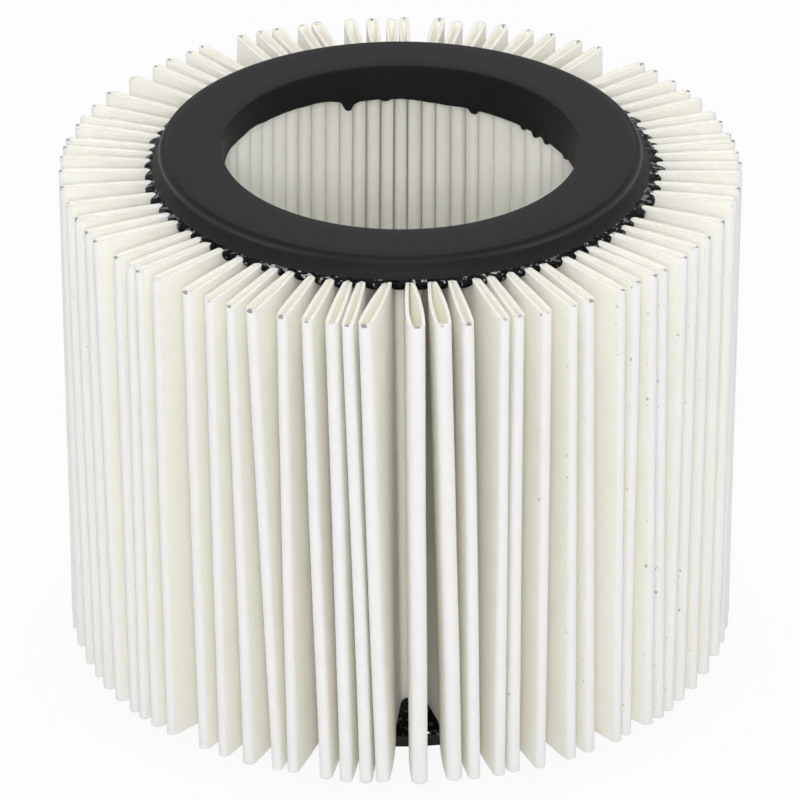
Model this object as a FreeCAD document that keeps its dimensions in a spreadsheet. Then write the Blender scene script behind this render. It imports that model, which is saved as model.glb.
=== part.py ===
# Cartridge filter of a drum vacuum cleaner: a closed loop of pleated fleece, with a
# moulded polyurethane ring cast round each end. Both ends are open.
# Millimetres, +Z up. The lower ring stands on Z = 0 and the loop's axis is the Z axis.
import FreeCAD, Part
import math
import os
import Sketcher
from FreeCAD import Vector

# Driving dimensions: alias, value, what it is.
SIZES = (
    ("pleat_count", 78, "pleats around the loop"),
    ("media_height", 139.5, "height of the folded strip"),
    ("media_thickness", 0.9, "thickness of the fleece"),
    ("pleat_depth", 39.5, "inner folds to outer folds"),
    ("tip_width", 4.4, "outside width of an outer fold"),
    ("leg_gap", 0.25, "air between the legs of a pleat where the ring grips them"),
    ("leg_run", 0.2, "legs stay together this far past the ring's rim, then spread"),
    ("tip_gap", 0.3, "least air between neighbouring outer folds"),
    ("spacing_swing", 0.5, "how unevenly the outer folds stand, as a share of their free room"),
    ("front_opening", 2.0, "free room of the wide gap beside the front pleat, in mean gaps"),
    ("crowded_pleats", 4, "pleats that close up to make room for the wide gap"),
    ("front_angle", 2.6, "degrees from the front to the first pleat"),
    ("bore_diameter", 96.8, "opening of an end ring"),
    ("collar_wall", 4.5, "wall of the collar that lines the opening"),
    ("collar_clearance", 0.1, "collar to the inner folds"),
    ("collar_depth", 5.5, "collar below the ends of the pleats"),
    ("land_width", 15.2, "flat sealing land, from the opening outwards"),
    ("land_step", 0.9, "land down to the ledge round it"),
    ("ledge_width", 1.7, "ledge round the land"),
    ("ring_proud", 5.6, "land above the ends of the pleats"),
    ("rim_flare", 2.5, "how far the wall slopes out from the ledge down to the rim"),
    ("tooth_cover", 0.3, "rim past the teeth that grip the pleats"),
    ("tooth_length", 8.0, "teeth along the pleats"),
    ("tooth_depth", 3.0, "teeth below the ends of the pleats"),
)

# An outer fold is drawn as the chords round half an octagon, tangent to the true bend.
FOLD_CORNERS = [math.radians(a) for a in (-67.5, -22.5, 22.5, 67.5)]
CORNER_REACH = 1 / math.cos(math.radians(22.5))
FRONT = math.radians(-90)
WAVES = (2.4, 3.7)

# Heights and radii shared by several pieces, as expressions on the sheet.
PLEAT_TOP = "sizes.ring_proud + sizes.media_height"
LAND_TOP = PLEAT_TOP + " + sizes.ring_proud"
LEDGE_TOP = LAND_TOP + " - sizes.land_step"
TOOTH_END = PLEAT_TOP + " - sizes.tooth_depth"
COLLAR_END = PLEAT_TOP + " - sizes.collar_depth"
BORE = "sizes.bore_diameter / 2"
COLLAR = BORE + " + sizes.collar_wall"
ROOT = COLLAR + " + sizes.collar_clearance"
LAND = BORE + " + sizes.land_width"
LEDGE = LAND + " + sizes.ledge_width"
RIM = LEDGE + " + sizes.rim_flare"
TOOTH_OUTSIDE = RIM + " - sizes.tooth_cover"
TOOTH_INSIDE = TOOTH_OUTSIDE + " - sizes.tooth_length"

doc = FreeCAD.newDocument("cartridge_filter")
sheet = doc.addObject("Spreadsheet::Sheet", "sizes")
for row, (alias, amount, meaning) in enumerate(SIZES, start=1):
    sheet.set(f"A{row}", meaning)
    sheet.set(f"B{row}", str(amount))
    sheet.setAlias(f"B{row}", alias)
doc.recompute()


def size(alias):
    return float(sheet.get(alias))


def value(expression):
    return float(sheet.evalExpression(expression))


def direction(angle):
    return Vector(math.cos(angle), math.sin(angle), 0)


def across(vector):
    """The vector turned a quarter left, which is towards the next pleat."""
    return Vector(-vector.y, vector.x, 0)


# Pleats

def tip_angles(tip_centre):
    """Angles of the outer folds: each takes its own width, and the room left over is
    shared out unevenly, with one wide gap to the left of the first pleat."""
    count = int(size("pleat_count"))
    crowded = int(size("crowded_pleats"))
    weights = []
    for gap in range(count):
        wave = sum(math.sin(speed * gap) for speed in WAVES) / len(WAVES)
        weights.append(1 + size("spacing_swing") * wave)
    weights[-1] += size("front_opening")
    for gap in range(crowded):
        weights[-2 - gap] -= size("front_opening") / crowded
    taken = size("tip_width") + size("tip_gap")
    free = 2 * math.pi * tip_centre - count * taken
    angles = [FRONT + math.radians(size("front_angle"))]
    for weight in weights[:-1]:
        spacing = taken + free * weight / sum(weights)
        angles.append(angles[-1] + spacing / tip_centre)
    return angles


def strip_line():
    """Corners of the strip's middle line, round the whole loop."""
    thickness = size("media_thickness")
    half_pitch = math.pi / int(size("pleat_count"))
    leg = (thickness + size("leg_gap")) / 2
    root = value(ROOT) + thickness / 2
    root_half = root * math.tan(half_pitch) - leg
    grip = value(RIM) + size("leg_run")
    tip_bend = (size("tip_width") - thickness) / 2
    tip_centre = value(ROOT) + size("pleat_depth") - thickness / 2 - tip_bend
    corners = []
    for pleat, tip_angle in enumerate(tip_angles(tip_centre)):
        axis_angle = FRONT + math.radians(size("front_angle")) + 2 * half_pitch * pleat
        valley = direction(axis_angle - half_pitch)
        axis = direction(axis_angle)
        tip = direction(tip_angle) * tip_centre
        lean = (tip - axis * grip).normalize()
        corners.append(valley * root - across(valley) * root_half)
        corners.append(valley * root + across(valley) * root_half)
        corners.append(axis * grip - across(axis) * leg)
        for turn in FOLD_CORNERS:
            reach = lean * math.cos(turn) + across(lean) * math.sin(turn)
            corners.append(tip + reach * (tip_bend * CORNER_REACH))
        corners.append(axis * grip + across(axis) * leg)
    return corners


def beside(corners, distance):
    """A closed wire at a distance to the right of a closed line, with mitred corners."""
    points = []
    for k, corner in enumerate(corners):
        before = across((corner - corners[k - 1]).normalize())
        after = across((corners[(k + 1) % len(corners)] - corner).normalize())
        points.append(corner - (before + after) * (distance / (1 + before.dot(after))))
    return Part.makePolygon(points + points[:1])


def outline(name, wires):
    feature = doc.addObject("Part::Feature", name)
    feature.Shape = Part.makeFace(wires, "Part::FaceMakerBullseye")
    return feature


def raised(name, base, height, bottom):
    """A flat outline raised along Z from its bottom."""
    solid = doc.addObject("Part::Extrusion", name)
    solid.Base = base
    solid.DirMode = "Custom"
    solid.Dir = Vector(0, 0, 1)
    solid.Solid = True
    solid.setExpression("LengthFwd", height)
    solid.setExpression("Placement.Base.z", bottom)
    return solid


line = strip_line()
half_thickness = size("media_thickness") / 2
outside = beside(line, half_thickness)
inside = beside(line, -half_thickness)
media = raised("pleated_media", outline("strip_section", [outside, inside]),
               "sizes.media_height", "sizes.ring_proud")
root_circle = Part.Wire(Part.makeCircle(value(ROOT)))
pleat_block = raised("pleat_block", outline("pleat_outline", [outside, root_circle]),
                     "sizes.media_height", "sizes.ring_proud")


# End rings

def turned(name, corners):
    """A body turned about Z from a closed profile of (radius, height) expressions."""
    body = doc.addObject("PartDesign::Body", name)
    sketch = body.newObject("Sketcher::SketchObject", name + "_profile")
    planes = [item for item in body.Origin.OriginFeatures if item.Role == "XZ_Plane"]
    sketch.AttachmentSupport = [(planes[0], "")]
    sketch.MapMode = "FlatFace"
    places = [Vector(value(radius), value(height), 0) for radius, height in corners]
    count = len(corners)
    for k in range(count):
        sketch.addGeometry(Part.LineSegment(places[k], places[(k + 1) % count]))
    for k, (radius, height) in enumerate(corners):
        sketch.addConstraint(Sketcher.Constraint("Coincident", k, 2, (k + 1) % count, 1))
        for kind, now, expression in (("DistanceX", places[k].x, radius),
                                      ("DistanceY", places[k].y, height)):
            index = sketch.addConstraint(Sketcher.Constraint(kind, -1, 1, k, 1, now))
            sketch.setExpression(f"Constraints[{index}]", expression)
    turn = body.newObject("PartDesign::Revolution", name + "_turn")
    turn.Profile = sketch
    turn.ReferenceAxis = (sketch, ["V_Axis"])
    turn.Angle = 360
    body.Tip = turn
    return body


def pleat_prism(name, reach):
    """A prism with one flat side in each gap between pleats, at a reach from the axis."""
    solid = doc.addObject("Part::Prism", name)
    solid.Placement.Rotation.Axis = Vector(0, 0, 1)
    solid.setExpression("Polygon", "sizes.pleat_count")
    solid.setExpression("Circumradius", f"({reach}) / cos(180 deg / sizes.pleat_count)")
    solid.setExpression("Height", "sizes.tooth_depth")
    solid.setExpression("Placement.Base.z", TOOTH_END)
    solid.setExpression("Placement.Rotation.Angle", "sizes.front_angle - 90")
    return solid


def combined(kind, name, base, tool):
    result = doc.addObject(kind, name)
    result.Base = base
    result.Tool = tool
    return result


cap = turned("ring_cap", (
    (BORE, COLLAR_END),
    (COLLAR, COLLAR_END),
    (COLLAR, PLEAT_TOP),
    (RIM, PLEAT_TOP),
    (LEDGE, LEDGE_TOP),
    (LAND, LEDGE_TOP),
    (LAND, LAND_TOP),
    (BORE, LAND_TOP),
))
band = combined("Part::Cut", "tooth_band", pleat_prism("tooth_outside", TOOTH_OUTSIDE),
                pleat_prism("tooth_inside", TOOTH_INSIDE))
teeth = combined("Part::Cut", "ring_teeth", band, pleat_block)
top_ring = combined("Part::Fuse", "top_end_ring", cap, teeth)

bottom_ring = doc.addObject("Part::Mirroring", "bottom_end_ring")
bottom_ring.Source = top_ring
bottom_ring.Normal = Vector(0, 0, 1)
bottom_ring.setExpression("Base.z", "sizes.ring_proud + sizes.media_height / 2")

doc.recompute()

# Checks and files

NODES = (media, top_ring, bottom_ring)
for item in doc.Objects:
    if "Invalid" in item.State or "Error" in item.State:
        raise RuntimeError(f"{item.Name} failed: {item.State}")
for node in NODES:
    if node.Shape.isNull() or not node.Shape.isValid() or len(node.Shape.Solids) != 1:
        raise RuntimeError(f"{node.Name} is not one valid solid")

os.makedirs("parts", exist_ok=True)
for node in NODES:
    node.Label = node.Name
    node.Shape.exportStep(f"parts/{node.Label}.step")
    box = node.Shape.BoundBox
    print(f"{node.Label}: {node.Shape.Volume / 1000:.1f} cm3, {len(node.Shape.Faces)} faces, "
          f"Z {box.ZMin:.2f} to {box.ZMax:.2f}, {box.XLength:.2f} x {box.YLength:.2f} mm")
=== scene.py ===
# %% [markdown]
# # A pleated cartridge filter
#
# The real thing is a loop of white fleece, folded into 78 deep pleats, with a black ring cast
# round each end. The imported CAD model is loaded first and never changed: it says where every
# piece sits. The pieces below are finer versions of its three nodes, made in the same frame.

# %% The frame
import math
import random

import bpy
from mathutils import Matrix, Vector


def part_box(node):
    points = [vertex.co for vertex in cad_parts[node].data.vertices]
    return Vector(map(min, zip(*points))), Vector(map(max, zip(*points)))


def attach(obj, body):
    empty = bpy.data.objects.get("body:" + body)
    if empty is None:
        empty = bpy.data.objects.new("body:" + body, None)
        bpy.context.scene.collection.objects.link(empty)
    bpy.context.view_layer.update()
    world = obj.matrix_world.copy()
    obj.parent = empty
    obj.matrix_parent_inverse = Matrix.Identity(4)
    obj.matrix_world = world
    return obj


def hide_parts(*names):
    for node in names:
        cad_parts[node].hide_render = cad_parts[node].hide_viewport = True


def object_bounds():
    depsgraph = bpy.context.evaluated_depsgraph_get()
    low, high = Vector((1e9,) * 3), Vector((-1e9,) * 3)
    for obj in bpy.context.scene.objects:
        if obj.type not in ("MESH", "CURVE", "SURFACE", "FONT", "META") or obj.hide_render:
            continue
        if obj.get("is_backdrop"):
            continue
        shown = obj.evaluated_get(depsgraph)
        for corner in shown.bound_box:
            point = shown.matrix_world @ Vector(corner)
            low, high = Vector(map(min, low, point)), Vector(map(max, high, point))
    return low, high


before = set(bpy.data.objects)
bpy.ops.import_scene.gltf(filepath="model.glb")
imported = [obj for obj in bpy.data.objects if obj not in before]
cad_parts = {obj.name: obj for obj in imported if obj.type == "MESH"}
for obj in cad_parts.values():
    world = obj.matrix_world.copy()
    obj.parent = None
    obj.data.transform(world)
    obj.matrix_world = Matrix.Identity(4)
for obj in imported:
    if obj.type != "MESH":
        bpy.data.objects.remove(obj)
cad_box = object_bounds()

MM = 0.001
fleece_low, fleece_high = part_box("pleated_media")
MIDDLE = (fleece_low.z + fleece_high.z) / 2
HALF_HEIGHT = (fleece_high.z - fleece_low.z) / 2
OUTER_FOLD = max(fleece_high.x, -fleece_low.x)
print(f"pleats end {HALF_HEIGHT / MM:.2f} mm either side of the middle, at Z {MIDDLE / MM:.2f} mm")

# %% [markdown]
# ## The camera
#
# The photograph was taken from far away with a long lens, a little under 30 degrees above the
# table. A camera is placed by its elevation and distance from a point on the filter's axis, and
# a long lens keeps the rings nearly as wide at the back as at the front.

# %% The camera
ELEVATION = math.radians(29.1)
DISTANCE = 1.671
TARGET = Vector((-0.00013, 0.0, 0.07214))

lens = bpy.data.cameras.new("camera")
lens.sensor_width = 36
lens.lens = 271.5
camera = bpy.data.objects.new("camera", lens)
camera.location = TARGET + DISTANCE * Vector((0, -math.cos(ELEVATION), math.sin(ELEVATION)))
camera.rotation_euler = (math.pi / 2 - ELEVATION, 0, 0)
bpy.context.scene.collection.objects.link(camera)
bpy.context.scene.camera = camera
print(f"camera {camera.location.z:.2f} m up, {-camera.location.y:.2f} m in front")

# %% [markdown]
# ## Sums on sockets
#
# Node trees are full of small sums, and wiring each one by hand hides what it says. A Wire holds
# one socket. Python's own operators on it add Math nodes, so `1 - mask` is written as it reads,
# and `node` adds any other node: its type, its settings, then its sockets. The same class serves
# the shaders and the geometry trees.

# %% Wires
class Wire:
    """One socket of a node tree. Sums on it add Math nodes to the tree."""

    def __init__(self, tree, socket=None):
        self.tree = tree
        self.socket = socket

    def node(self, kind, settings=None, sockets=None, out=0):
        made = self.tree.nodes.new(kind)
        for name, setting in (settings or {}).items():
            setattr(made, name, setting)
        for key, given in (sockets or {}).items():
            entry = self.pick(made.inputs, key)
            if isinstance(given, Wire):
                self.tree.links.new(given.socket, entry)
            else:
                entry.default_value = given
        if not made.outputs:
            return made
        return Wire(self.tree, self.pick(made.outputs, out))

    @staticmethod
    def pick(sockets, key):
        if isinstance(key, int):
            return sockets[key]
        return next(entry for entry in sockets if entry.name == key and entry.enabled)

    def math(self, operation, *terms):
        return self.node("ShaderNodeMath", {"operation": operation}, dict(enumerate(terms)))

    def __add__(self, other):
        return self.math("ADD", self, other)

    def __sub__(self, other):
        return self.math("SUBTRACT", self, other)

    def __rsub__(self, other):
        return self.math("SUBTRACT", other, self)

    def __mul__(self, other):
        return self.math("MULTIPLY", self, other)

    def __truediv__(self, other):
        return self.math("DIVIDE", self, other)

    def __rtruediv__(self, other):
        return self.math("DIVIDE", other, self)

    def __pow__(self, other):
        return self.math("POWER", self, other)

    __radd__ = __add__
    __rmul__ = __mul__


def share(wire, start, end):
    """A soft step: 0 where the wire is at start, 1 where it is at end."""
    return wire.node("ShaderNodeMapRange", {"interpolation_type": "SMOOTHSTEP"},
                     {"Value": wire, "From Min": start, "From Max": end})


def between(first, second, amount):
    """A number part of the way from first to second."""
    return first + (second - first) * amount


print("wires ready")

# %% [markdown]
# ## Where the pleats stand
#
# A machine folds the strip evenly, but handling leaves the outer folds standing unevenly: some
# lean together, and a few gaps are wide open. The angles of the folds were read off the photograph,
# in degrees to the right of the front: at both ends for those that face the camera, and at the upper
# end alone for those round the back. Lower down, a pleat at the back is drawn towards the middle of
# its two neighbours, so no two of them can cross.

# %% Angles of the outer folds
CREST_HIGH = (-75.3, -69.6, -64.7, -61.4, -54.4, -50.9, -48.4, -44.3, -37.5, -32.9, -28.8, -25.0,
              -19.6, -15.4, -11.3, -8.6, -5.7, 2.7, 7.0, 11.1, 17.2, 19.6, 24.5, 29.3, 32.5, 39.1,
              42.4, 46.4, 48.9, 54.7, 58.3, 62.7, 68.7, 77.1)
CREST_LOW = (-70.6, -65.7, -62.0, -57.6, -52.9, -50.2, -46.9, -43.1, -35.7, -31.6, -26.7, -21.3,
             -18.5, -12.7, -9.2, -5.9, -3.0, 3.25, 9.2, 12.6, 17.0, 19.6, 24.4, 30.3, 34.0, 40.0,
             42.3, 47.8, 50.8, 53.7, 57.4, 61.9, 67.2, 73.6)
FRONT_PLEAT = CREST_HIGH.index(2.7)

CREST_BACK = (80.9, 86.5, 90.5, 95.0, 99.0, 101.7, 107.0, 110.0, 115.7, 119.8, 124.2, 129.2, 132.7,
              142.7, 146.9, 152.3, 156.6, 161.5, 165.5, 169.8, 173.1, 179.3, 181.6, 185.1, 189.0,
              195.0, 197.7, 202.5, 205.5, 209.4, 217.3, 220.2, 225.0, 228.1, 234.4, 241.6, 247.1,
              251.9, 254.5, 260.8, 263.9, 267.5, 272.4, 278.5)
PLEATS = len(CREST_HIGH) + len(CREST_BACK)
FULL = 2 * math.pi


def next_round(angles):
    return angles[1:] + [angles[0] + FULL]


def one_back(angles):
    return [angles[-1] - FULL] + angles[:-1]


def evened(angles, amount):
    """Each angle drawn towards the middle of its two neighbours."""
    beside = zip(angles, one_back(angles), next_round(angles))
    return [a + amount * ((b + c) / 2 - a) for a, b, c in beside]


FRONT_COUNT = len(CREST_LOW)
crest_high = [math.radians(angle) for angle in CREST_HIGH + CREST_BACK]
crest_low = [math.radians(angle) for angle in CREST_LOW] + evened(crest_high, 0.5)[FRONT_COUNT:]
first_shift = crest_low[0] - crest_high[0]
last_shift = crest_low[FRONT_COUNT - 1] - crest_high[FRONT_COUNT - 1]
for pleat in range(FRONT_COUNT, PLEATS):
    way = (pleat - FRONT_COUNT + 1) / (len(CREST_BACK) + 1)
    crest_low[pleat] += last_shift + (first_shift - last_shift) * way
spacing = [b - a for a, b in zip(crest_high, crest_high[1:])]
print(f"{PLEATS} pleats, {math.degrees(min(spacing)):.1f} to {math.degrees(max(spacing)):.1f} "
      "degrees apart at the top")

# %% [markdown]
# ## Where the rings hold them
#
# The cast rings grip the pleats near their inner folds, and there they stand a little more evenly
# than at the outer folds. Each root is drawn from its own fold's angle towards the mean of its two
# neighbours, which keeps any two roots further apart than two thicknesses of fleece. The pleats beside
# the front one are bent, so their roots are further right than their folds. Whatever is uneven from
# here on comes from random numbers with a fixed seed, so that each run gives the same filter.

# %% Angles of the pleats' roots
EVENING = 0.3
SKEW = 0.16
BENT_HIGH = {FRONT_PLEAT - 1: 2.2}
BENT_LOW = {FRONT_PLEAT - 1: 0.6, FRONT_PLEAT + 1: 1.3}


def root_angles(crest, bent):
    """The angles at which the pleats leave a ring."""
    roots = evened(crest, EVENING)
    for pleat, degrees in bent.items():
        roots[pleat] += math.radians(degrees)
    return roots


def inner_angles(roots):
    """The angles of the pleats at their inner folds, where they stand more evenly still."""
    for _ in range(4):
        roots = evened(roots, 0.5)
    return roots


def valley_angles(inner, skew):
    """The middles of the inner folds, each a little to one side."""
    return [(a + b) / 2 + (b - a) * turn for a, b, turn in zip(inner, next_round(inner), skew)]


root_high, root_low = root_angles(crest_high, BENT_HIGH), root_angles(crest_low, BENT_LOW)
inner_high, inner_low = inner_angles(root_high), inner_angles(root_low)
draw = random.Random(11)
skew = [draw.uniform(-SKEW, SKEW) for _ in range(PLEATS)]
valley_high, valley_low = valley_angles(inner_high, skew), valley_angles(inner_low, skew)
gaps = [math.degrees(b - a) for a, b in zip(root_high, next_round(root_high))]
print(f"roots {min(gaps):.2f} to {max(gaps):.2f} degrees apart")

# %% [markdown]
# ## One point for each pleat
#
# The numbers of a pleat are kept as attributes of one vertex, all at the origin. The geometry tree
# puts a flat piece of fleece on each vertex, and the piece inherits them.

# %% The layout mesh
THICKNESS = 0.9 * MM
# Outside width of an outer fold, and of the three at the front. They are widest at this radius.
WIDTH, FRONT_WIDTH, LEAST_WIDTH = 3.4 * MM, 4.7 * MM, 2.6 * MM
WIDEST_AT = OUTER_FOLD - 6 * MM
# The radius at which a ring grips the pleats, and a leg's distance from its pleat's middle there.
GRIP, LEG = 67.0 * MM, 0.58 * MM
# Least air between neighbouring folds, and half of it between neighbouring legs.
TOUCH, APART = 0.35 * MM, 0.05 * MM


def nearest(angles, pleat):
    """The angle from a pleat to the nearer of its two neighbours."""
    after = angles[(pleat + 1) % PLEATS] - angles[pleat]
    before = angles[pleat] - angles[pleat - 1]
    return min(after % FULL, before % FULL)


def width_beside(crest, pleat):
    """An outer fold as wide as its neighbours allow."""
    room = nearest(crest, pleat) * WIDEST_AT - TOUCH
    wanted = FRONT_WIDTH if abs(pleat - FRONT_PLEAT) < 2 else WIDTH + draw.uniform(-0.4, 0.4) * MM
    return max(min(wanted, room), LEAST_WIDTH)


def leg_beside(roots, pleat):
    """Half the distance between a pleat's two legs where the ring grips them."""
    return min(LEG, nearest(roots, pleat) * GRIP / 2 - THICKNESS / 2 - APART)


def point_cloud(name, places, **numbers):
    """A mesh of loose vertices, each carrying the given numbers."""
    mesh = bpy.data.meshes.new(name)
    mesh.from_pydata(places, [], [])
    for key, amounts in numbers.items():
        mesh.attributes.new(key, "FLOAT", "POINT").data.foreach_set("value", amounts)
    piece = bpy.data.objects.new(name, mesh)
    bpy.context.scene.collection.objects.link(piece)
    return piece


pleat_points = point_cloud(
    "pleated_fleece", [(0, 0, 0)] * PLEATS,
    pleat=[float(pleat) for pleat in range(PLEATS)],
    crest_high=crest_high, crest_low=crest_low, root_high=root_high, root_low=root_low,
    inner_high=inner_high, inner_low=inner_low,
    before_high=one_back(valley_high), after_high=valley_high,
    before_low=one_back(valley_low), after_low=valley_low,
    width_high=[width_beside(crest_high, pleat) for pleat in range(PLEATS)],
    width_low=[width_beside(crest_low, pleat) for pleat in range(PLEATS)],
    leg_high=[leg_beside(root_high, pleat) for pleat in range(PLEATS)],
    leg_low=[leg_beside(root_low, pleat) for pleat in range(PLEATS)],
    lift=[draw.uniform(-0.35, 0.35) * MM for _ in range(PLEATS)])
print(f"{len(pleat_points.data.vertices)} layout points")

# %% [markdown]
# ## Tools for finishes
#
# Each finish below is one Principled shader. A number that is the same all over goes straight onto
# the shader's socket, and what changes over the surface is worked out with wires and fed to it.
# Colours go through Mix nodes, because a Math node would turn them grey.

# %% Tools for finishes
def new_finish(name, **fixed):
    """A material with its fixed numbers set on the shader itself."""
    finish = bpy.data.materials.new(name)
    finish.use_nodes = True
    shader = finish.node_tree.nodes["Principled BSDF"]
    for key, amount in fixed.items():
        shader.inputs[key.replace("_", " ").title()].default_value = amount
    return finish, Wire(finish.node_tree), shader


def feed(finish, shader, **wires):
    for key, wire in wires.items():
        finish.node_tree.links.new(wire.socket, shader.inputs[key.replace("_", " ").title()])


def blend(start, mask, first, second):
    """A colour that goes from first to second as the mask goes from 0 to 1."""
    return start.node("ShaderNodeMix", {"data_type": "RGBA"},
                      {"Factor": mask, "A": first, "B": second}, out="Result")


def noise(start, vector, scale, detail=2.0, roughness=0.5):
    return start.node("ShaderNodeTexNoise", {}, {"Vector": vector, "Scale": scale, "Detail": detail,
                                                 "Roughness": roughness}, out="Fac")


def split(start, vector):
    return [start.node("ShaderNodeSeparateXYZ", {}, {"Vector": vector}, out=axis) for axis in "XYZ"]


def grey(level):
    return (level, level, level, 1)


print("tools for finishes ready")

# %% [markdown]
# ## Marks on the fleece
#
# A filter that has been handled isn't clean. The creases along the outer folds hold dark specks, more
# of them at the right front, and the cut ends are a little grey. Most upper corners of the outer folds
# get a dark spot, which is painted shade where the inner end of the fold lies in deep shadow, with a
# little dirt. The strip carries its own coordinates: `station` runs from the outer fold inwards, so a
# mark can keep to a crease whichever way its pleat leans.

# %% Marks on the fleece
TOP = MIDDLE + HALF_HEIGHT
CREASE = 0.8


def with_marks(start, colour, place, station, clouds):
    """The colour with specks on the creases, grey cut ends, and dark upper corners that are painted
    shade with a little dirt.
    """
    x, y, z = split(start, place)
    off_crease = (station - CREASE).math("ABSOLUTE", station - CREASE)
    right_front = share(x, -0.01, 0.05) * (1 - share(y, -0.06, -0.02))
    rare = 0.73 - right_front * 0.065
    specks = share(noise(start, place, 560.0), rare, rare + 0.05) * (1 - share(off_crease, 0.05, 0.22))
    colour = blend(start, specks * 0.6, colour, grey(0.10))

    height = (z - MIDDLE).math("ABSOLUTE", z - MIDDLE)
    cut = share(height, HALF_HEIGHT - 0.45 * MM, HALF_HEIGHT - 0.05 * MM) * share(clouds, 0.25, 0.6)
    colour = blend(start, cut * 0.15, colour, (0.42, 0.41, 0.38, 1))

    # Painted shade with a little dirt: a dark spot at the upper end of most outer folds, where the
    # fold's inner end lies in deep shadow.
    corner = share(z, TOP - 0.7 * MM, TOP - 0.3 * MM) * (1 - share(station, 0.15, 0.38))
    corner_shade_and_dirt = corner * share(noise(start, place, 260.0), 0.38, 0.5)
    return blend(start, corner_shade_and_dirt * 0.7, colour, grey(0.08))


print(f"creases at station {CREASE}, upper ends at Z {TOP / MM:.2f} mm")

# %% [markdown]
# ## The fleece's finish
#
# The filter cloth is a thick felted polyester: matt, slightly fibrous and nearly neutral white. Its
# colours are painted light as well as cloth. The outer folds are painted a dimmer white, as painted
# shade. The legs, the inner folds and the inner side are painted a paler, creamier colour, which
# stands in for light bounced between the pleats and come through the fleece. Thread-fine fibres are
# far too small to model, so stretched noise in the strip's own coordinates bumps the surface. Light
# soaks through these walls, pleat after pleat. Following all of it would take more bounces than a
# render can afford, so subsurface scattering carries it through one wall, and a faint warm glow stands
# in for the rest.

# %% Fleece
GLOW = (1.0, 0.965, 0.86, 1)


def make_fleece(name, tip, leg, fold, glow, glowing, least):
    """A finish from its colours at the outer folds, on the legs and at the inner folds. glowing
    has the stations where the glow rises from its least share, is full, fades and is gone."""
    finish, start, shader = new_finish(
        name, subsurface_weight=0.7, subsurface_radius=(1.0, 0.97, 0.9), subsurface_scale=2 * MM,
        emission_strength=glow)
    shader.inputs["Specular IOR Level"].default_value = 0.2
    place = start.node("ShaderNodeTexCoord", out="Object")
    z = split(start, place)[2]
    station, along = (start.node("ShaderNodeAttribute", {"attribute_name": key}, out="Fac")
                      for key in ("station", "along"))
    on_strip = start.node("ShaderNodeCombineXYZ", {}, {"X": along, "Y": z * 0.35, "Z": station})
    fibres = noise(start, on_strip, 2600.0, 3.0)
    clouds, patches = noise(start, place, 160.0, 3.0), noise(start, place, 26.0)

    # Painted light: from the outer fold inwards, the colour turns from the dimmer crest white to the
    # paler, warmer colours that stand in for light bounced between the pleats.
    colour = blend(start, share(station, 0.6, 1.05), tip, leg)
    colour = blend(start, share(station, 1.9, 2.6), colour, fold)
    colour = blend(start, share(clouds, 0.40, 0.72) * 0.10, colour, (0.72, 0.71, 0.66, 1))
    colour = blend(start, share(patches, 0.45, 0.75) * 0.06, colour, (0.80, 0.76, 0.62, 1))
    bump = start.node("ShaderNodeBump", {}, {"Strength": 0.35, "Distance": 0.0002,
                                             "Height": fibres + clouds * 1.5}, out="Normal")
    rises, full, fades, gone = glowing
    lit = share(station, rises, full) * (1 - share(station, fades, gone))
    feed(finish, shader, base_color=with_marks(start, colour, place, station, clouds),
         roughness=0.82 + fibres * 0.15, normal=bump,
         emission_color=blend(start, lit, grey(least), GLOW))
    print(f"{name}: {len(finish.node_tree.nodes)} nodes")
    return finish


# %% [markdown]
# The two sides of the strip are painted differently, for the light on them rather than for the cloth.
# On its outer side, the outer folds are painted a dimmer white than the rest, as painted shade that
# keeps the front lamp from washing them out. In the gaps, the legs and inner folds are painted paler
# and warmer, as painted light bounced between the pleats, and the legs glow a little just behind the
# folds. Its inner side faces the narrow air inside each pleat, where nearly all light has come through
# the fleece, so it is painted creamier and brighter, and it glows more. Past the ring it faces the
# opening, takes the legs' paler painted colour, and there the glow is a quarter.

# %% Both sides of the fleece
# Painted light: the crest white is painted dimmer than the rest, and the legs, inner folds and inner
# side are painted paler and creamier, for light bounced between the pleats and come through the
# fleece.
DIMMED_CREST_WHITE, PAINTED_BOUNCE_LIGHT, PAINTED_CREAM_LIGHT = (0.83, 0.835, 0.83, 1), (0.95, 0.935, 0.855, 1), (0.97, 0.95, 0.86, 1)
BEHIND_FOLDS, UP_TO_RING = (0.85, 1.1, 1.3, 1.8), (-1.0, -0.5, 1.9, 2.4)
fleece = make_fleece("fleece", DIMMED_CREST_WHITE, PAINTED_BOUNCE_LIGHT, PAINTED_BOUNCE_LIGHT, 0.02, BEHIND_FOLDS, 0.0)
fleece_inside = make_fleece("fleece_inside", PAINTED_CREAM_LIGHT, PAINTED_CREAM_LIGHT, PAINTED_BOUNCE_LIGHT, 0.08, UP_TO_RING, 0.25)

# %% [markdown]
# ## Folding the strip
#
# On the real machine one flat strip is creased back and forth and its ends are joined. The tree
# does the same: a flat grid for one pleat is put on every layout point and realised, so that each
# copy carries its own angles, and then one formula folds them all. The sizes are inputs of the
# tree, and two small helpers read them and the numbers that a pleat carries.

# %% Inputs of the folding tree
def new_tree(name, sizes):
    """An empty geometry tree with a named input for each size."""
    tree = bpy.data.node_groups.new(name, "GeometryNodeTree")
    tree.interface.new_socket(name="Geometry", in_out="OUTPUT", socket_type="NodeSocketGeometry")
    tree.interface.new_socket(name="Geometry", in_out="INPUT", socket_type="NodeSocketGeometry")
    for size in sizes:
        tree.interface.new_socket(name=size, in_out="INPUT", socket_type="NodeSocketFloat")
    return tree


def given(name):
    return start.node("NodeGroupInput", out=name)


def carried(name):
    return start.node("GeometryNodeInputNamedAttribute", {"data_type": "FLOAT"}, {"Name": name},
                      out="Attribute")


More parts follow.
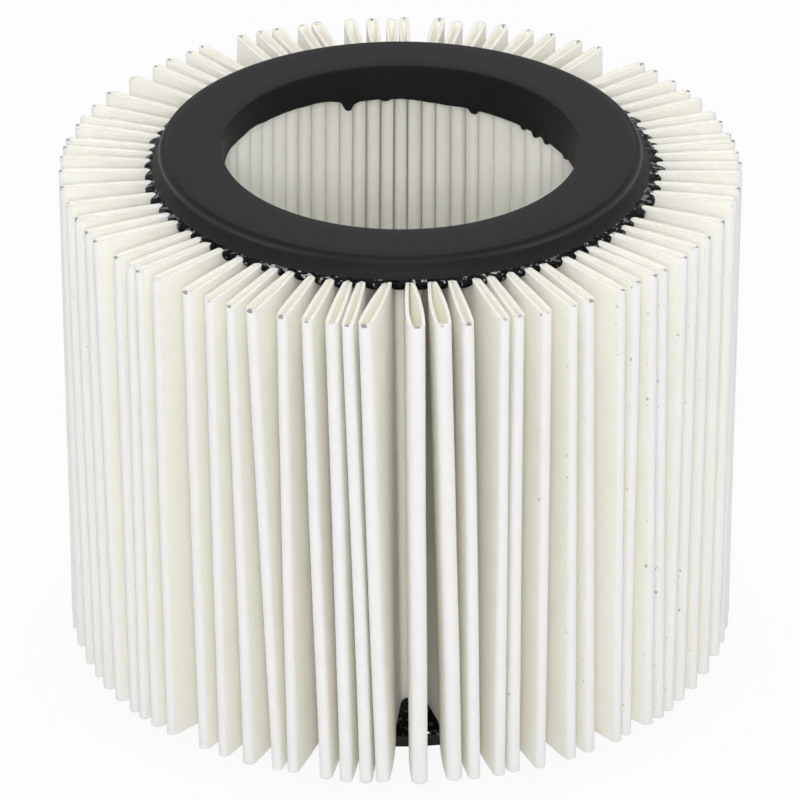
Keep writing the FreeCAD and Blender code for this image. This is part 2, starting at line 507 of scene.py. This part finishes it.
FOLD_SIZES = {"Outer fold": OUTER_FOLD - THICKNESS / 2, "Grip": GRIP, "Inner fold": 53.5 * MM,
              "Mouth": 0.7 * MM, "Half height": HALF_HEIGHT, "Middle": MIDDLE, "Sway": 0.45 * MM,
              "Seed": 3.0}
folding = new_tree("fold_the_fleece", FOLD_SIZES)
start = Wire(folding)
print(f"{len(FOLD_SIZES)} sizes of the folding tree")

# %% [markdown]
# A grid's X is the station along the strip, the same on both legs: 0 at the outer fold, 1 where its
# bend ends, 2 where the ring grips, 3 where the inner fold starts and 4 in the middle of it. Its Y
# is the level, from the lower end to the upper.

# %% A flat pleat on every point
flat = start.node("GeometryNodeMeshGrid", {}, {"Size X": 8.0, "Size Y": 2.0, "Vertices X": 41,
                                               "Vertices Y": 13}, out="Mesh")
pleats = start.node("GeometryNodeInstanceOnPoints", {}, {"Points": given("Geometry"),
                                                         "Instance": flat}, out="Instances")
pleats = start.node("GeometryNodeRealizeInstances", {}, {"Geometry": pleats}, out="Geometry")
along, level, _ = split(start, start.node("GeometryNodeInputPosition"))
side = along.math("SIGN", along)
station = along.math("ABSOLUTE", along)
up = level * 0.5 + 0.5


def by_height(name):
    """A number that the pleat carries for its lower and its upper end."""
    return between(carried(name + "_low"), carried(name + "_high"), up)


def limited(wire):
    return wire.node("ShaderNodeClamp", {}, {"Value": wire})


def sine(wire):
    return wire.math("SINE", wire)


def cosine(wire):
    return wire.math("COSINE", wire)


def rounded(wire, power):
    """A sine or cosine drawn out, so that a bend is blunter than a circle."""
    return wire.math("MAXIMUM", wire, 0.0) ** power


print("41 stations by 13 levels for one pleat")

# %% [markdown]
# From the grip to the outer fold, a leg follows a straight spine from G, in the ring, to T, near the
# outer fold. Its distance from the spine swells from the grip outwards as a leaf does and closes in a
# round bend. A slow noise sways each spine a little sideways, because no pleat is quite flat.

# %% The legs and the outer fold
BLUNT = 0.9

crest, root = by_height("crest"), by_height("root")
grip, leg = given("Grip"), by_height("leg")
half_width = by_height("width") * 0.5 - THICKNESS / 2
cap = half_width * 1.05
tip_radius = given("Outer fold") - cap
gx, gy = grip * sine(root), grip * cosine(root) * -1.0
tx, ty = tip_radius * sine(crest), tip_radius * cosine(crest) * -1.0
dx, dy = tx - gx, ty - gy
length = (dx * dx + dy * dy) ** 0.5
ux, uy = dx / length, dy / length

bend = limited(station) * (math.pi / 2)
spine = 1 - limited(station - 1)
belly = spine ** 0.92 * 2.05
swell = leg + (half_width - leg) * sine(belly)
out = cap * rounded(cosine(bend), BLUNT)
wide = swell * rounded(sine(bend), BLUNT) * side
sx, sy = between(cosine(root), uy * -1.0, spine), between(sine(root), ux, spine)
wander = start.node("ShaderNodeCombineXYZ", {}, {"X": carried("pleat") * 7.31, "Y": up * 1.3,
                                                 "Z": given("Seed")})
sway = (noise(start, wander, 1.0) - 0.5) * 2.0 * given("Sway") * spine
leg_x = gx + dx * spine + ux * out + sx * (wide + sway)
leg_y = gy + dy * spine + uy * out + sy * (wide + sway)
print(f"legs and outer folds: {len(folding.nodes)} nodes so far")

# %% [markdown]
# From the grip inwards, the two legs run side by side to the mouth that each pleat keeps open
# towards the bore, and end in half of a round inner fold. The neighbour has the other half.

# %% The inner folds
ROUNDER = 1.2

valley = between(by_height("before"), by_height("after"), side.math("GREATER_THAN", side, 0.0))
inner, inner_fold, mouth = by_height("inner"), given("Inner fold"), given("Mouth")
past_grip = limited(station - 2)
fold = limited(station - 3) * (math.pi / 2)
arc = valley - inner
room = inner_fold * arc.math("ABSOLUTE", arc) - mouth
depth = room * ROUNDER
inwards = between(grip, inner_fold + depth, past_grip) - depth * sine(fold)
wall = between(root, inner, past_grip) + side * between(leg, mouth, past_grip) / inwards
turned = valley - side * room * rounded(cosine(fold), 1.0) / inwards
angle = between(wall, turned, station.math("GREATER_THAN", station, 3.0))
deep = station.math("GREATER_THAN", station, 2.0)
px = between(leg_x, inwards * sine(angle), deep)
py = between(leg_y, inwards * cosine(angle) * -1.0, deep)
pz = given("Middle") + level * given("Half height") + carried("lift") * spine
print(f"inner folds: {len(folding.nodes)} nodes so far")

# %% [markdown]
# Before the points move, the strip's own coordinates are stored for the finish: the station, and the
# place along the strip in metres. Merge by Distance then joins the pleats into one loop.

# %% Folding them all
PLEAT_LENGTH = 82.0 * MM


def stored(geometry, name, amount):
    return start.node("GeometryNodeStoreNamedAttribute", {"data_type": "FLOAT"},
                      {"Geometry": geometry, "Name": name, "Value": amount}, out="Geometry")


folded = stored(pleats, "station", station)
folded = stored(folded, "along", (carried("pleat") + along / 8) * PLEAT_LENGTH)
spot = start.node("ShaderNodeCombineXYZ", {}, {"X": px, "Y": py, "Z": pz})
folded = start.node("GeometryNodeSetPosition", {}, {"Geometry": folded, "Position": spot},
                    out="Geometry")
folded = start.node("GeometryNodeMergeByDistance", {}, {"Geometry": folded, "Distance": 0.01 * MM},
                    out="Geometry")
folded = start.node("GeometryNodeSetMaterial", {}, {"Geometry": folded, "Material": fleece},
                    out="Geometry")
start.node("NodeGroupOutput", {}, {"Geometry": folded})
print(f"folding tree: {len(folding.nodes)} nodes")

# %% [markdown]
# ## The pleated fleece
#
# The tree gives a surface without thickness, whose area divided by its height is the length of the
# strip before it was folded. Solidify then gives it the fleece's 0.9 mm. The result is made a plain
# mesh, because the export and the frame's checks know nothing of modifiers.

# %% Running a tree
def run_tree(piece, tree, sizes):
    """Puts a tree on an object, with its sizes set by the identifiers of their sockets."""
    modifier = piece.modifiers.new(tree.name, "NODES")
    modifier.node_group = tree
    for entry in tree.interface.items_tree:
        if entry.name in sizes:
            modifier[entry.identifier] = sizes[entry.name]


def evaluated(piece):
    """A new mesh of the shape that the object's modifiers give."""
    return bpy.data.meshes.new_from_object(
        piece.evaluated_get(bpy.context.evaluated_depsgraph_get()))


def made_plain(piece, crisp):
    """The object's evaluated shape as its own mesh, with no modifiers left."""
    mesh = evaluated(piece)
    piece.modifiers.clear()
    piece.data = mesh
    mesh.name = piece.name
    mesh.shade_smooth()
    mesh.set_sharp_from_angle(angle=math.radians(crisp))
    return piece


def triangles(piece):
    return sum(len(face.vertices) - 2 for face in piece.data.polygons)


run_tree(pleat_points, folding, FOLD_SIZES)
surface = evaluated(pleat_points)
wall_faces = len(surface.polygons)
bpy.data.meshes.remove(surface)

# %% [markdown]
# Solidify lists the faces of the outer wall first, then those of the inner wall, then the cut edges,
# so the two finishes are given out in that order.

# %% The pleated fleece
thicken = pleat_points.modifiers.new("thickness", "SOLIDIFY")
thicken.thickness = THICKNESS
thicken.offset = 0
media = made_plain(pleat_points, 50)
media.data.materials.clear()
for finish in (fleece, fleece_inside):
    media.data.materials.append(finish)
finishes = [0] * wall_faces + [1] * wall_faces
finishes += [0] * (len(media.data.polygons) - len(finishes))
media.data.polygons.foreach_set("material_index", finishes)
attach(media, "root")
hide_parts("pleated_media")
print(f"pleated fleece: {triangles(media)} triangles")

# %% [markdown]
# ## The polyurethane's finish
#
# The rings are cast in open moulds from a two-part polyurethane. Where it met the mould it is satin
# black with a fine skin. The ledge round the land was rubbed smooth by the mould's edge, and shines
# a little at both sides.

# %% Polyurethane
polyurethane, start, shader = new_finish("polyurethane", coat_roughness=0.08)
shader.inputs["Specular IOR Level"].default_value = 0.12
place = start.node("ShaderNodeTexCoord", out="Object")
x, y, _ = split(start, place)
radius = (x * x + y * y) ** 0.5
skin, flow = noise(start, place, 2200.0), noise(start, place, 55.0, 3.0)
ledge = share(radius, 64.6 * MM, 65.1 * MM) * (1 - share(radius, 65.4 * MM, 65.6 * MM))
at_sides = share(x * x, 0.015 ** 2, 0.035 ** 2)
bump = start.node("ShaderNodeBump", {}, {"Strength": 0.25, "Distance": 0.0001,
                                         "Height": skin + flow * 2.0}, out="Normal")
feed(polyurethane, shader, roughness=0.47 + skin * 0.10 + flow * 0.08, normal=bump,
     base_color=blend(start, flow, (0.009, 0.009, 0.0093, 1), (0.013, 0.013, 0.0133, 1)),
     coat_weight=ledge * at_sides * 0.3)
print(f"{polyurethane.name}: {len(polyurethane.node_tree.nodes)} nodes")

# %% [markdown]
# Between the pleats the liquid crept out and set with no mould against it. There it is a deeper
# black, and wet-looking in patches, where the lamps show as sparks. A clear coat with a high index
# makes the sparks, and noise says where the patches are.

# %% Polyurethane that set in the open
creep, start, shader = new_finish("polyurethane_creep", base_color=(0.003, 0.003, 0.0032, 1),
                                  coat_roughness=0.05)
shader.inputs["Specular IOR Level"].default_value = 0.04
shader.inputs["Coat IOR"].default_value = 1.9
place = start.node("ShaderNodeTexCoord", out="Object")
wet = share(noise(start, place, 650.0, 1.0), 0.58, 0.64)
bump = start.node("ShaderNodeBump", {}, {"Strength": 0.35, "Distance": 0.0003,
                                         "Height": noise(start, place, 700.0)}, out="Normal")
feed(creep, shader, coat_weight=wet, roughness=0.25 + wet * 0.1, normal=bump)
print(f"{creep.name}: {len(creep.node_tree.nodes)} nodes")

# %% [markdown]
# ## The cast rings
#
# A ring is a turned profile, so it could be spun, but the real casting isn't round everywhere: its rim
# runs out between the pleats and sags there, and the collar in the opening ends in a ragged lip with a
# few drips. So the profile is carried round point by point, a dozen steps from pleat to pleat, and two
# of its stretches are moved as they go: the rim by the pleats, the lip by noise and the drips. All
# numbers of a ring are in millimetres and degrees.

# %% Profile of a ring
# Radius and height above the pleats' ends, then how much a point follows the rim and the lip.
PROFILE = (
    (50.6, -5.50, 0, 1), (49.1, -5.45, 0, 1), (48.6, -5.2, 0, 1), (48.4, -4.7, 0, 0.95),
    (48.4, -3.4, 0, 0.5), (48.4, -1.5, 0, 0), (48.4, 1.5, 0, 0), (48.4, 5.1, 0, 0),
    (48.45, 5.35, 0, 0), (48.6, 5.52, 0, 0), (48.85, 5.6, 0, 0),
    (52.0, 5.6, 0, 0), (56.0, 5.6, 0, 0), (60.0, 5.6, 0, 0), (63.0, 5.6, 0, 0),
    (63.35, 5.53, 0, 0), (63.55, 5.36, 0, 0), (63.62, 5.1, 0, 0), (63.66, 4.9, 0, 0),
    (63.8, 4.74, 0, 0), (64.1, 4.7, 0, 0), (64.9, 4.68, 0, 0), (65.2, 4.6, 0, 0),
    (65.38, 4.4, 0, 0), (65.5, 4.0, 0, 0), (65.8, 2.8, 0, 0), (66.25, 1.6, 0, 0),
    (66.7, 0.9, 0.06, 0), (67.1, 0.45, 0.2, 0), (67.4, 0.2, 0.5, 0), (67.6, 0.02, 0.85, 0),
    (67.65, -0.3, 1, 0), (67.6, -1.0, 1, 0), (67.0, -1.8, 0.85, 0), (65.6, -2.4, 0.45, 0),
    (60.0, -2.7, 0, 0), (54.5, -2.8, 0, 0), (53.1, -3.6, 0, 0), (52.6, -5.0, 0, 0.6),
)
BORE, LAND, PROUD = 48.4, 63.6, 5.6
CREPT = 0.2
# Drips on the lip: where, how wide and how deep. A wide one with a negative depth lifts the lip.
DRIPS = ((197, 5.4, 0.9), (197.3, 2.9, 1.9), (185, 3.0, 0.6), (155.5, 3.0, 1.3), (136, 1.6, 0.8),
         (130.5, 2.2, 1.3), (125, 2.2, 1.1), (112, 3.0, 0.7), (217, 38, -1.8), (247, 30, -2.2),
         (300, 2.4, 1.4), (338, 3.4, 0.9), (20, 2.6, 1.2), (62, 3.0, 0.8))
print(f"{len(PROFILE)} profile points, {len(DRIPS)} drips")

# %% [markdown]
# The real casting is uneven in three larger ways too. The upper ring set a little higher at the back,
# the creep runs further out on the right, and the lip hangs lower there. Small functions say by how
# much at each angle, so that the rings and the beads further down agree.

# %% Unevenness of the casting
SET_HIGH, SET_BACK = 0.5, 0.55
WIDER, LOWER = 1.5, 2.4
WAVES = (9, 14, 23, 37, 61)


def to_the_right(angle):
    return max(0.0, math.sin(angle))


def creep_run(angle):
    """How much further out the creep runs at an angle."""
    return WIDER * to_the_right(angle) ** 2


def drip_depth(angle):
    """The summed depth of all drips at an angle, each a smooth bell of its own width."""
    total = 0.0
    for degrees, width, depth in DRIPS:
        away = (angle - math.radians(degrees) + math.pi) % FULL - math.pi
        total += depth * math.exp(-((away * BORE / (width * 0.42)) ** 4))
    return total


def ragged(angle, phases):
    """A small wandering of the lip."""
    return sum(math.sin(speed * angle + phase) / (1 + k)
               for k, (speed, phase) in enumerate(zip(WAVES, phases))) * 0.16


print(f"deepest drip {max(drip_depth(math.radians(a)) for a in range(360)):.1f} mm")

# %% [markdown]
# A turned mesh gets its faces by walking the profile and the circle together. The lower ring is
# the upper one reflected in the filter's middle, with its own random numbers, and reflecting turns
# the faces round, so their corners are listed the other way there. Its land runs out to the edge
# with no ledge, which is what shows between the front pleats.

# %% Corners and faces of a ring
STEPS = 12
BETWEEN_LEGS = 0.12
LEDGE_FROM, LEDGE_TO, LEDGE_BEND = 63.2, 65.45, 65.0


def set_at(radius, angle, height, facing):
    """A place from its radius, its angle and its height above a ring's end of the pleats."""
    return (radius * MM * math.sin(angle), -radius * MM * math.cos(angle),
            MIDDLE + facing * (HALF_HEIGHT + height * MM))


def ring_corner(row, angle, way, run, sag, lip, facing):
    """Where a point of the profile goes at an angle, part of the way from a pleat to the next."""
    radius, height, rim, fringe = row
    r = radius + run * rim
    h = height - sag * rim - lip * fringe
    if min(way, 1 - way) < BETWEEN_LEGS and rim > 0 and height < 0:
        h *= 0.15
    if facing < 0 and LEDGE_FROM < radius < LEDGE_TO:
        h = PROUD - 0.3 * max(0.0, radius - LEDGE_BEND)
    if facing > 0 and rim == 0:
        h += SET_HIGH - SET_BACK * math.cos(angle) * r / LAND
    return set_at(r, angle, h, facing)


def ring_faces(rounds, facing):
    count = len(PROFILE)
    faces = []
    for k in range(rounds):
        for p in range(count):
            a, b = k * count + p, k * count + (p + 1) % count
            c, d = (b + count) % (rounds * count), (a + count) % (rounds * count)
            faces.append((a, b, c, d) if facing < 0 else (a, d, c, b))
    return faces


print(f"{PLEATS * STEPS} steps round a ring")

# %% [markdown]
# Each gap between two pleats gets its own reach and sag of the rim, drawn at random. The lower lip's
# drips are those of the upper one turned round, so that the two ends don't look copied. What crept
# past the mould gets the second finish.

# %% Casting the rings
LOWER_TURN = math.radians(97)


def cast_ring(name, facing, seed):
    """facing is 1 for the upper ring and -1 for the lower."""
    chance = random.Random(seed)
    phases = [chance.uniform(0, FULL) for _ in WAVES]
    rims = [(chance.uniform(1.5, 2.8), chance.uniform(0.0, 0.4)) for _ in range(PLEATS)]
    roots = root_high if facing > 0 else root_low
    corners = []
    for first, second, (reach, sag) in zip(roots, next_round(roots), rims):
        for step in range(STEPS):
            way = step / STEPS
            angle = first + (second - first) * way
            swell = max(0.0, math.sin(math.pi * (way - 0.03) / 0.94)) ** 0.6
            here = angle if facing > 0 else angle + LOWER_TURN
            lip = ragged(angle, phases) + drip_depth(here) + LOWER * to_the_right(here)
            run = reach * swell + creep_run(angle)
            corners += [ring_corner(row, angle, way, run, sag * swell, lip, facing) for row in PROFILE]
    rounds = PLEATS * STEPS
    mesh = bpy.data.meshes.new(name)
    mesh.from_pydata(corners, [], ring_faces(rounds, facing))
    mesh.materials.append(polyurethane)
    mesh.materials.append(creep)
    mesh.polygons.foreach_set("material_index", [int(row[2] >= CREPT) for row in PROFILE] * rounds)
    mesh.shade_smooth()
    mesh.set_sharp_from_angle(angle=math.radians(60))
    piece = bpy.data.objects.new(name, mesh)
    bpy.context.scene.collection.objects.link(piece)
    return piece


top_ring = cast_ring("top_ring", 1, 21)
bottom_ring = cast_ring("bottom_ring", -1, 22)
for ring, node in ((top_ring, "top_end_ring"), (bottom_ring, "bottom_end_ring")):
    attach(ring, "root")
    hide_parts(node)
    print(f"{ring.name}: {triangles(ring)} triangles")

# %% [markdown]
# ## Beads of creep
#
# In the gaps the liquid polyurethane stood up in small beads before it set, and their wet gloss is
# what catches the light round the rim. Instancing one small ball on points is the cheapest way, and
# the tree turns and stretches each copy by the numbers its point carries.

# %% The bead tree
BEAD_SIZES = {"Bead": 1.0 * MM}
beading = new_tree("set_the_beads", BEAD_SIZES)
start = Wire(beading)
ball = start.node("GeometryNodeMeshIcoSphere", {}, {"Radius": given("Bead"), "Subdivisions": 2},
                  out="Mesh")
shape = start.node("ShaderNodeCombineXYZ", {}, {"X": carried("wide"), "Y": carried("deep"),
                                                "Z": carried("tall")})
outwards = start.node("ShaderNodeCombineXYZ", {}, {"Z": carried("turn")})
beads = start.node("GeometryNodeInstanceOnPoints", {}, {
    "Points": given("Geometry"), "Instance": ball, "Rotation": outwards, "Scale": shape},
    out="Instances")
beads = start.node("GeometryNodeRealizeInstances", {}, {"Geometry": beads}, out="Geometry")
beads = start.node("GeometryNodeSetMaterial", {}, {"Geometry": beads, "Material": creep},
                   out="Geometry")
start.node("NodeGroupOutput", {}, {"Geometry": beads})
print(f"bead tree: {len(beading.nodes)} nodes")

# %% [markdown]
# Each gap gets one to three flattened beads of different sizes, within the room that the legs beside
# it leave. Further out they sit lower, as the rim does.

# %% Setting the beads
BEAD_RADIUS, LEGS_TAKE = 67.5, 1.8


def set_beads(name, facing, seed):
    chance = random.Random(seed)
    roots = root_high if facing > 0 else root_low
    places, turn, wide, deep, tall = [], [], [], [], []
    for first, second in zip(roots, next_round(roots)):
        room = (second - first) * BEAD_RADIUS - LEGS_TAKE
        for _ in range(chance.choice((1, 1, 2, 3))):
            angle = (first + second) / 2 + chance.uniform(-0.4, 0.4) * room / BEAD_RADIUS
            r = chance.uniform(67.0, 68.6) + creep_run(angle)
            places.append(set_at(r, angle, 0.2 - max(0.0, r - 67.4) * 0.1, facing))
            turn.append(angle)
            wide.append(chance.uniform(0.25, 0.6))
            deep.append(chance.uniform(0.25, 0.45))
            tall.append(chance.uniform(0.2, 0.4))
    piece = point_cloud(name, places, turn=turn, wide=wide, deep=deep, tall=tall)
    run_tree(piece, beading, BEAD_SIZES)
    made_plain(piece, 60)
    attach(piece, "root")
    print(f"{name}: {len(places)} beads, {triangles(piece)} triangles")


set_beads("top_beads", 1, 31)
set_beads("bottom_beads", -1, 32)

# %% [markdown]
# ## The floor
#
# The photograph shows the filter on plain white. The floor is a large pale plane whose material is
# mostly white to the camera, and an ordinary matt surface to every other ray, so it keeps a soft
# shadow under the filter and bounces light as a table would.

# %% Floor
def seen(start):
    """1 for a ray that comes from the camera, straight, mirrored or through glass, and else 0."""
    direct, mirrored, through = (start.node("ShaderNodeLightPath", out=f"Is {kind} Ray")
                                 for kind in ("Camera", "Glossy", "Transmission"))
    return direct.math("MAXIMUM", direct, mirrored.math("MAXIMUM", mirrored, through))


REACH = 9
mesh = bpy.data.meshes.new("floor")
mesh.from_pydata([(-REACH, -REACH, 0), (REACH, -REACH, 0), (REACH, REACH, 0), (-REACH, REACH, 0)],
                 [], [(0, 1, 2, 3)])
floor = bpy.data.objects.new("floor", mesh)
bpy.context.scene.collection.objects.link(floor)
paper = bpy.data.materials.new("white_paper")
paper.use_nodes = True
paper.node_tree.nodes.clear()
start = Wire(paper.node_tree)
grain = noise(start, start.node("ShaderNodeTexCoord", out="Object"), 300.0)
matt = start.node("ShaderNodeBsdfDiffuse", {}, {"Color": blend(start, grain, grey(0.86), grey(0.88))})
white = start.node("ShaderNodeEmission", {}, {"Color": grey(1), "Strength": 1.0})
surface = start.node("ShaderNodeMixShader", {}, {0: seen(start) * 0.9, 1: matt, 2: white})
start.node("ShaderNodeOutputMaterial", {}, {"Surface": surface})
mesh.materials.append(paper)
floor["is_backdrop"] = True
print(f"floor {2 * REACH} m square")

# %% [markdown]
# ## World and lamps
#
# A product photograph is lit by large soft boxes, so that no shadow has a hard edge. The one in front
# does most of the work, those at the sides and behind keep the pleats there from going grey, and the
# one overhead lights the ring. The world is white to the camera and a dim fill to everything else.
# Light goes back and forth between the pleats, so it gets one diffuse bounce more than usual.

# %% World and lamps
world = bpy.data.worlds.new("studio")
bpy.context.scene.world = world
world.use_nodes = True
world.node_tree.nodes.clear()
start = Wire(world.node_tree)
sky = start.node("ShaderNodeBackground", {}, {"Color": grey(1),
                                              "Strength": between(0.36, 1.0, seen(start))})
start.node("ShaderNodeOutputWorld", {}, {"Surface": sky})

# Name, place, width and height in metres, watts.
SOFT_BOXES = (
    ("front_softbox", (0, -2.33, 1.35), 0.45, 0.8, 33),
    ("left_softbox", (-1.9, -0.7, 1.0), 0.8, 1.1, 4.0),
    ("right_softbox", (1.9, -0.7, 1.0), 0.8, 1.1, 4.0),
    ("left_back_softbox", (-1.7, 1.5, 0.9), 0.8, 1.1, 3),
    ("right_back_softbox", (1.7, 1.5, 0.9), 0.8, 1.1, 3),
    ("top_softbox", (0, 0.3, 1.9), 1.2, 1.2, 13),
)
AIM = Vector((0, 0, 0.08))
for name, place, width, height, watts in SOFT_BOXES:
    light = bpy.data.lights.new(name, "AREA")
    light.shape = "RECTANGLE"
    light.size, light.size_y, light.energy = width, height, watts
    lamp = bpy.data.objects.new(name, light)
    lamp.location = place
    lamp.rotation_euler = (AIM - Vector(place)).to_track_quat("-Z", "Y").to_euler()
    bpy.context.scene.collection.objects.link(lamp)
bpy.context.scene.view_settings.view_transform = "Standard"
bpy.context.scene.cycles.diffuse_bounces = 5
print(f"{len(SOFT_BOXES)} lamps")

# %% [markdown]
# ## Sizes
#
# The box of the CAD model and that of the finer pieces are both printed, axis by axis.

# %% Sizes and the end
visual_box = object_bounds()
for axis, a, b in zip("XYZ", cad_box[1] - cad_box[0], visual_box[1] - visual_box[0]):
    print(f"{axis}: CAD {a / MM:.1f} mm, visual {b / MM:.1f} mm")
